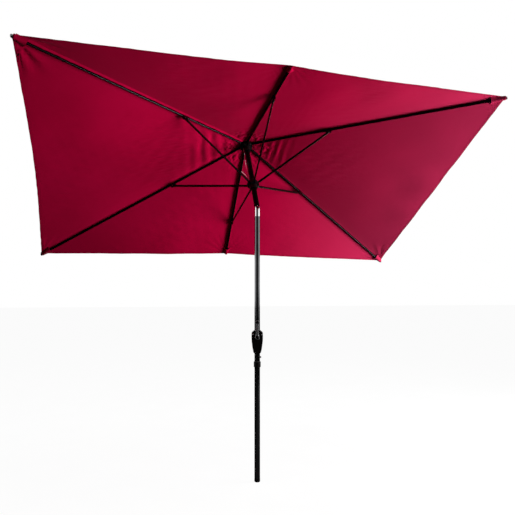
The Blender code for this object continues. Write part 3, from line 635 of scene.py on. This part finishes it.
def cloth_hem(name, material):
    """The folded edge, wrapped round the sector's edge and shaded as flat as the cloth beside it."""
    places, panels = sector(name)
    x, y = places[-1, :, 0], places[-1, :, 1]
    on_short, on_long = np.abs(x) > HALF_LENGTH - 1e-6, np.abs(y) > HALF_WIDTH - 1e-6
    lines = []
    for inward, above in HEM_SECTION:
        far_x, far_y = HALF_LENGTH - inward, HALF_WIDTH - inward
        moved_x = np.where(on_short, np.sign(x) * far_x, np.clip(x, -far_x, far_x))
        moved_y = np.where(on_long, np.sign(y) * far_y, np.clip(y, -far_y, far_y))
        lines.append(cloth_point(moved_x, moved_y, above))
    points = np.stack(lines, axis=1).reshape(-1, 3)
    around = len(HEM_SECTION)
    faces = [tuple(reversed(face)) for face in ring_faces(len(x), around)]
    spin = np.array(HUB.to_3x3())
    ends = [np.full(x.shape, panel) for panel in (panels[0], panels[-1])]
    flat = [cloth_normal(x, y, panel) @ -spin.T for panel in ends]
    normals = []
    for cell, face in enumerate(faces):
        under = len(face) == 4 and all(spot % around in HEM_UNDER for spot in face)
        side = int(panels[min(cell // around, len(panels) - 1)] == panels[-1])
        normals += [flat[side][spot // around] if under else (0, 0, 0) for spot in face]
    return make_piece(f"hem_{name}", points, faces, material, HUB, 35, np.array(normals))


def along_rib(name, inward, sideways, above):
    """Points inward from the rim, sideways from the rib line and above the cloth's underside."""
    azimuth = rib_azimuth(name)
    out = rim_reach(azimuth) - inward
    x = out * cos(azimuth) - sideways * sin(azimuth)
    y = out * sin(azimuth) + sideways * cos(azimuth)
    return cloth_point(x, y, above)


SEAM_TOP = ((-0.0080, 0.0010), (-0.0074, 0.0017), (0, 0.0019), (0.0074, 0.0017), (0.0080, 0.0010))
SEAM_SIDES = (0.0165, 0.0150, 0.0115, 0.0085, 0.0073, 0.0060)
SEAM_FLAT = (-0.0007, -0.0012, -0.0013, -0.0014, -0.0014, -0.0013)
SEAM_WIDENED = 1.35  # along the near left rib, where the allowance stands off the cloth on one side
SEAM_RAISED = (-0.0007, -0.0030, -0.0078, -0.0108, -0.0070, -0.0014)


def seam_section(name, label):
    """(sideways from the rib line, above the cloth's underside) across a seam."""
    if label == "top":
        return SEAM_TOP
    wide, heights = (SEAM_WIDENED, SEAM_RAISED) if name == "near_left" else (1, SEAM_FLAT)
    left = [(-side, above) for side, above in zip(SEAM_SIDES, SEAM_FLAT)]
    right = [(side * wide, above) for side, above in zip(SEAM_SIDES, heights)]
    return left + [(0, -0.0008)] + right[::-1]


def rib_seam(name, label, material):
    """Along the rib: the seam's allowance beside the rib underneath, or the felled strip on top."""
    reach = float(rim_reach(rib_azimuth(name)))
    inward = np.linspace(0.012, reach - 0.055, 150)[:, None]
    sideways, above = (np.array(line)[None, :] for line in zip(*seam_section(name, label)))
    ruffle = 1 + 0.10 * np.sin(inward * 47) + 0.07 * np.sin(inward * 121 + 1)
    grid = along_rib(name, inward + 0 * sideways, sideways + 0 * inward, above * ruffle)
    return shell(f"seam_{label}_{name}", grid, 0.0006, material)


LAP_OFFSETS = (-0.004, 0.0, 0.006, 0.012, 0.018, 0.024)  # from the line between two sectors
LAP_INSET = 0.006  # short of the canopy's edge
LAP_START = 4  # rows of cloth between the mouth and a lap


def border_lap(name, material):
    """The strip on top that laps over the next sector, so that no slit opens as the ribs fold."""
    line = half_panel(name, 1)[LAP_START:, -1]
    azimuth = atan2(line[-1][1], line[-1][0])
    offsets = np.array(LAP_OFFSETS)
    far_x, far_y = HALF_LENGTH - LAP_INSET, HALF_WIDTH - LAP_INSET
    x = np.clip(line[:, :1] - offsets * sin(azimuth), -far_x, far_x)
    y = np.clip(line[:, 1:] + offsets * cos(azimuth), -far_y, far_y)
    return shell(f"lap_{name}", cloth_point(x, y, CLOTH_THICKNESS + 0.0006), 0.0006, material)


POCKETS = {  # how far in from the canopy's edge each pocket reaches
    "near_left": 0.074,
    "near_middle": 0.046,
    "near_right": 0.094,
    "far_right": 0.090,
    "far_middle": 0.058,
    "far_left": 0.082,
}


def rib_pocket(name, material):
    """The sewn pocket that holds the rib's end: narrow at the edge, flared and puckered at its mouth."""
    length = POCKETS[name]
    start = 0.004
    steps, across = 30, 33
    rows = []
    for step in range(steps + 1):
        t = step / steps
        inward = start + (length - start) * t
        half_width = 0.015 + 0.022 * t ** 1.4
        power = 0.30 + 0.45 * t
        depth = 0.0242 * min(1, 0.5 + 80 * (inward - start)) - 0.0008 * t
        share = np.linspace(-1, 1, across)
        drop = depth * (0.5 + 0.5 * np.cos(pi * share)) ** power
        pucker = 0.0012 * np.sin(9 * share + 14 * t) * np.sin(pi * min(1, 1.2 * t)) * (1 - share ** 2)
        above = -0.0012 - drop - np.abs(pucker)
        rows.append(along_rib(name, np.full(across, inward), share * half_width, above))
    return shell(f"pocket_{name}", np.array(rows), 0.0010, material)


# Frame bars


def rib_frame(name):
    hinge = Matrix.Translation((HINGE_RADIUS, 0, 0)) @ Matrix.Rotation(rib_slope(name), 4, "Y")
    return turn_about_mast(rib_azimuth(name)) @ hinge


def oval(width, depth, points=32):
    """The section of a bar rolled from round tube, a little flatter at its sides than an ellipse."""
    made = []
    for k in range(points):
        angle = 2 * pi * (k + 0.5) / points
        across, rise = (copysign(abs(part) ** 0.9, part) for part in (cos(angle), sin(angle)))
        made.append((width / 2 * across, depth / 2 * rise))
    return made


def bar(name, start, end, width, depth, material, matrix, round_end=False, toe=0.006):
    """An oval tube along the matrix's X, flattened at its hinge end and, if asked, at its far end."""
    steps = 9
    angles = [pi / 2 * k / steps for k in range(1, steps + 1)]
    stations = [(start - toe * cos(angle), 2 * toe * sin(angle)) for angle in angles]
    stations.append((start + 0.010, 2 * toe + (depth - 2 * toe) * 0.5))
    stations.append((start + 0.018, depth))
    if round_end:
        stations += [(end - 0.018, depth), (end - 0.010, 2 * toe + (depth - 2 * toe) * 0.5)]
        stations += [(end + toe * cos(angle), 2 * toe * sin(angle)) for angle in reversed(angles)]
    else:
        stations.append((end, depth))
    rings = [[(x, u, v) for u, v in oval(width, max(tall, 0.001))] for x, tall in stations]
    obj = lofted(name, rings, material, matrix, 50)
    tidy(obj)
    return obj


CORNER_JOINT, MIDDLE_JOINT = 0.610, 0.650  # hinge to stretcher joint, along the rib
CORNER_END_INSET, MIDDLE_END_INSET = 0.010, 0.030
STRETCHER_TOE = 0.0085


def rib_length(name):
    corner = RIBS[name][0] != 0
    run = (hypot(HALF_LENGTH, HALF_WIDTH) if corner else HALF_WIDTH) - HINGE_RADIUS
    return hypot(run, CORNER_DROP if corner else MIDDLE_DROP)


TUBE_EXTRA = 0.0016  # the drawn bars are this much thicker than the sections above


def rib_tube(name, material):
    end = rib_length(name) - (CORNER_END_INSET if RIBS[name][0] else MIDDLE_END_INSET)
    width, depth = RIB_WIDTH + TUBE_EXTRA, RIB_DEPTH + TUBE_EXTRA
    return bar(f"tube_{name}", 0, end, width, depth, material, rib_frame(name))


def stretcher_frame(name):
    """(matrix, length): X from the runner's hinge to the joint under the rib."""
    azimuth, slope = rib_azimuth(name), rib_slope(name)
    joint = CORNER_JOINT if RIBS[name][0] else MIDDLE_JOINT
    toe = RIB_DEPTH / 2 + STRETCHER_TOE
    start = HUB.inverted() @ joint_point(f"stretcher_{name}_fold")
    out = joint * cos(slope) - toe * sin(slope)
    up = -start.z - joint * sin(slope) - toe * cos(slope)
    lift = Matrix.Translation((HINGE_RADIUS, 0, start.z)) @ Matrix.Rotation(-atan2(up, out), 4, "Y")
    return turn_about_mast(azimuth) @ lift, hypot(up, out)


def stretcher_bar(name, material):
    matrix, length = stretcher_frame(name)
    width, depth = STRETCHER_WIDTH + 1.2 * TUBE_EXTRA, STRETCHER_DEPTH + 2 * TUBE_EXTRA
    return bar(f"strut_{name}", 0, length, width, depth, material, matrix, True, 0.0048)


def rivet(name, material):
    """The domed rivet through the stretcher's end and the bracket's cheeks."""
    matrix, length = stretcher_frame(name)
    seat = matrix @ Matrix.Translation((length, 0, 0)) @ Matrix.Rotation(pi / 2, 4, "X")
    head, shank, cheek, end = 0.0034, 0.0019, 0.0081, 0.0098
    profile = [(0, end), (0.0020, end - 0.0003), (head, cheek + 0.0004), (head, cheek), (shank, cheek)]
    profile += [(r, -z) for r, z in reversed(profile)]
    return turned(f"rivet_{name}", profile, 0.0002, material, seat)


# Lift cord

CORD_RADIUS = 0.0018
CORD_X = -0.0245
CORD_TOP = -0.0130  # the pulley's axis, from the plane of the rib hinges
CORD_BOTTOM = -0.3577  # the top of the runner's sleeve
CORD_BOW = (-0.009, -0.013)  # how far the slack cord stands off a straight line
KNOT_HEIGHT = 0.021  # above the runner's sleeve
TAIL_LENGTH = 0.075


def tube(name, path, radius, material, sides=12, strands=0.10, cap=0.5):
    """A round tube along a path of world points, narrower at its ends, with twisted strands."""
    path = [Vector(p) for p in path]
    last = len(path) - 1
    ways = [(path[min(k + 1, last)] - path[max(k - 1, 0)]).normalized() for k in range(last + 1)]
    side = ways[0].orthogonal().normalized()
    rings, run = [], 0.0
    for k, (spot, way) in enumerate(zip(path, ways)):
        side = (side - way * side.dot(way)).normalized()
        other = way.cross(side)
        run += (spot - path[k - 1]).length if k else 0.0
        ring = []
        for m in range(sides):
            angle = 2 * pi * m / sides
            size = radius * (1 + strands * sin(3 * angle + run / radius * 0.55))
            size *= cap if k in (0, last) else 1
            ring.append(spot + side * size * cos(angle) + other * size * sin(angle))
        rings.append(ring)
    return lofted(name, rings, material, None, 60)


def hub_line(points):
    return [HUB @ Vector(p) for p in points]


def bezier(start, first, second, end, steps):
    made = []
    for k in range(steps + 1):
        t = k / steps
        u = 1 - t
        made.append(start * u ** 3 + first * 3 * t * u ** 2 + second * 3 * t * t * u + end * t ** 3)
    return made


def lift_cord(materials):
    """The cord from the pulley down to the runner, the knot there, and the knot's loose tail."""
    steps = 120
    points = []
    for k in range(steps + 1):
        t = k / steps
        bow = sin(pi * t) ** 1.5
        height = CORD_TOP + (CORD_BOTTOM - CORD_TOP) * t
        points.append((CORD_X + CORD_BOW[0] * bow, CORD_BOW[1] * bow, height))
    line = hub_line(points)
    run = tube("lift_cord", line, CORD_RADIUS, materials["pale_cord"])
    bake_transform(run)
    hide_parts("lift_cord_outer")
    centre = Vector((CORD_X, 0, CORD_BOTTOM + KNOT_HEIGHT))
    loop = []
    for k in range(61):
        t = 2 * pi * k / 60
        turn = Vector((sin(t) + 2 * sin(2 * t), cos(t) - 2 * cos(2 * t), -1.1 * sin(3 * t)))
        loop.append(centre + turn * 0.0011)
    knot = tube("lift_cord_knot", hub_line(loop), CORD_RADIUS * 0.95, materials["pale_cord"])
    start = HUB @ (centre + Vector((-0.0020, 0, 0.0020)))
    way = Vector((-0.766, -0.166, 0.621)).normalized()
    end = start + way * TAIL_LENGTH * 0.985 - Vector((0, 0, 0.004))
    path = bezier(start, start + way * 0.026, end - way * 0.020 + Vector((0, 0, 0.004)), end, 26)
    tail = tube("lift_cord_tail", path, CORD_RADIUS, materials["pale_cord"])
    for piece in (knot, tail):
        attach(piece, "runner")


# The object's pieces


def pressed_spring(name, body):
    """The spring behind a button: a copy of its CAD spring, put on the given body in the CAD node's place."""
    node = frame["nodes"][name]
    spring = bpy.data.objects.new(f"{name}_pressed", node.data.copy())
    bpy.context.scene.collection.objects.link(spring)
    spring.matrix_world = node.matrix_world
    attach(spring, body)
    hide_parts(name)
    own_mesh(spring)


def finish_nodes(materials):
    """The slot's material on every CAD node, and smooth shading on its round faces."""
    slots = {part["node"]: part["material_slot"] for part in frame["record"]["subparts"]}
    for name, node in frame["nodes"].items():
        node.data.materials.clear()
        node.data.materials.append(materials[slots[name]])
        node.data.shade_smooth()
        node.data.set_sharp_from_angle(angle=radians(30))


def dress_canopy(materials):
    for name in NAMES:
        body = f"rib_{name}"
        cloth = cloth_sector(name, materials["canopy_cloth"])
        hem = cloth_hem(name, materials["canopy_hem"])
        seams = [rib_seam(name, label, materials["canopy_cloth"]) for label in ("under", "top")]
        pocket = rib_pocket(name, materials["canopy_hem"])
        lap = border_lap(name, materials["canopy_cloth"])
        for piece in (cloth, hem, *seams, pocket, lap):
            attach(piece, body)
        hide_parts(f"canopy_{name}")
        for piece in (cloth, hem, lap):
            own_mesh(piece)
        flat, area = cut_size(name)


def cut_size(name):
    """((width, length), area) of one sector's flat cut, hem left out, measured on the taut panels."""
    places, _ = sector(name)
    x, y = places[..., 0], places[..., 1]
    taut = np.stack([x, y, flat_height(x, y)], axis=-1)
    a, b, c, d = taut[:-1, :-1], taut[1:, :-1], taut[1:, 1:], taut[:-1, 1:]
    area = np.linalg.norm(np.cross(b - a, c - a), axis=-1).sum() / 2
    area += np.linalg.norm(np.cross(c - a, d - a), axis=-1).sum() / 2
    length = float(np.linalg.norm(taut[-1] - taut[0], axis=-1).max())
    width = float(2 * area / length)
    return (round(width, 3), round(length, 3)), round(float(area), 4)


def dress_frame(materials):
    for name in NAMES:
        tube = rib_tube(name, materials["black_steel"])
        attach(tube, f"rib_{name}")
        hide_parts(f"rib_{name}")
        strut = stretcher_bar(name, materials["black_steel"])
        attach(strut, f"stretcher_{name}")
        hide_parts(f"stretcher_{name}")
        pin = rivet(name, materials["bright_steel"])
        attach(pin, f"stretcher_{name}")


# Stage


def make_camera():
    data = bpy.data.cameras.new("camera")
    data.lens = 37.31
    data.sensor_width = 36.0
    data.clip_end = 200
    camera = bpy.data.objects.new("camera", data)
    bpy.context.scene.collection.objects.link(camera)
    camera.location = (-1.0440, -3.5677, 1.2548)
    looking = Vector((0.2806, 0.95711, 0.07205))
    camera.rotation_euler = looking.to_track_quat("-Z", "Y").to_euler()
    bpy.context.scene.camera = camera


FLOOR_GLOW = 0.96  # seen by the camera only: the floor stays near white and throws little light up


def make_floor():
    half, cells = 60.0, 24
    line = [half * (2 * k / cells - 1) for k in range(cells + 1)]
    mat, tree, shader = shader_material("pale_floor")
    tone = noise_of(tree, object_coordinates(tree), 3.0, 5.0)
    grey = ramp_of(tree, tone, (0.05, 0.05, 0.05), (0.065, 0.065, 0.065))
    tree.links.new(grey, shader.inputs["Base Color"])
    shader.inputs["Roughness"].default_value = 0.9
    shader.inputs["Specular IOR Level"].default_value = 0.0
    shader.inputs["Emission Color"].default_value = (1, 1, 1, 1)
    path = tree.nodes.new("ShaderNodeLightPath")
    glow = range_of(tree, path.outputs["Is Camera Ray"], 0, FLOOR_GLOW)
    tree.links.new(glow, shader.inputs["Emission Strength"])
    rings = [[(x, y, -0.0005) for y in line] for x in line]
    floor = lofted("floor", rings, mat, capped=False, closed=False)


WORLD_LIGHT = 0.035  # on matt surfaces; the camera sees plain white
MIRRORED_WORLD = 1.55  # brightness of the studio's walls in glossy surfaces
DARK_SIDE = (-0.28, -0.96, 0.0)  # the studio is unlit on this side, as the glossy poles show
DARK_WALL = 0.01
DARK_EDGE = (0.42, 0.80)  # cosines from the dark side: lit up to the first, dark beyond the second


def make_world():
    world = bpy.data.worlds.new("studio")
    bpy.context.scene.world = world
    world.use_nodes = True
    tree = world.node_tree
    background = tree.nodes["Background"]
    background.inputs["Color"].default_value = (1, 1, 1, 1)
    path = tree.nodes.new("ShaderNodeLightPath")
    towards = add_node(tree, "ShaderNodeVectorMath", operation="DOT_PRODUCT")
    tree.links.new(tree.nodes.new("ShaderNodeTexCoord").outputs["Generated"], towards.inputs[0])
    towards.inputs[1].default_value = DARK_SIDE
    wall = range_of(tree, towards.outputs["Value"], MIRRORED_WORLD, DARK_WALL, *DARK_EDGE)
    mirrored = math_of(tree, "MULTIPLY", path.outputs["Is Glossy Ray"], wall)
    seen = math_of(tree, "MAXIMUM", path.outputs["Is Camera Ray"], mirrored)
    tree.links.new(math_of(tree, "MAXIMUM", seen, WORLD_LIGHT), background.inputs["Strength"])


def area_light(name, place, target, size, power):
    data = bpy.data.lights.new(name, "AREA")
    data.shape = "RECTANGLE"
    data.size, data.size_y = size
    data.energy = power
    light = bpy.data.objects.new(name, data)
    bpy.context.scene.collection.objects.link(light)
    light.location = place
    light.rotation_euler = (Vector(target) - Vector(place)).to_track_quat("-Z", "Y").to_euler()
    return light


def make_lights():
    place, target = (4.13, -1.17, 1.15), (0.4, 0.2, 2.1)
    key = area_light("key_right", place, target, (2.6, 2.6), 500)
    key.visible_glossy = False
    glint = area_light("glint_right", place, target, (2.6, 2.6), 6000)
    glint.visible_diffuse = False
    glint.light_linking.receiver_collection = bpy.data.collections.new("bars")
    for name in NAMES:
        for bar_name in (f"tube_{name}", f"strut_{name}"):
            glint.light_linking.receiver_collection.objects.link(bpy.data.objects[bar_name])
    area_light("above", (0.6, -0.6, 6.0), (0.2, 0.2, 2.0), (4.0, 4.0), 120)


def main():
    materials = make_materials()
    make_camera()
    make_world()
    make_floor()
    finish_nodes(materials)
    dress_canopy(materials)
    dress_frame(materials)
    lift_cord(materials)
    pressed_spring("tilt_button_spring", "mast")
    pressed_spring("snap_button_spring", "pole")
    make_lights()
    bpy.context.scene.view_settings.view_transform = "Standard"


main()
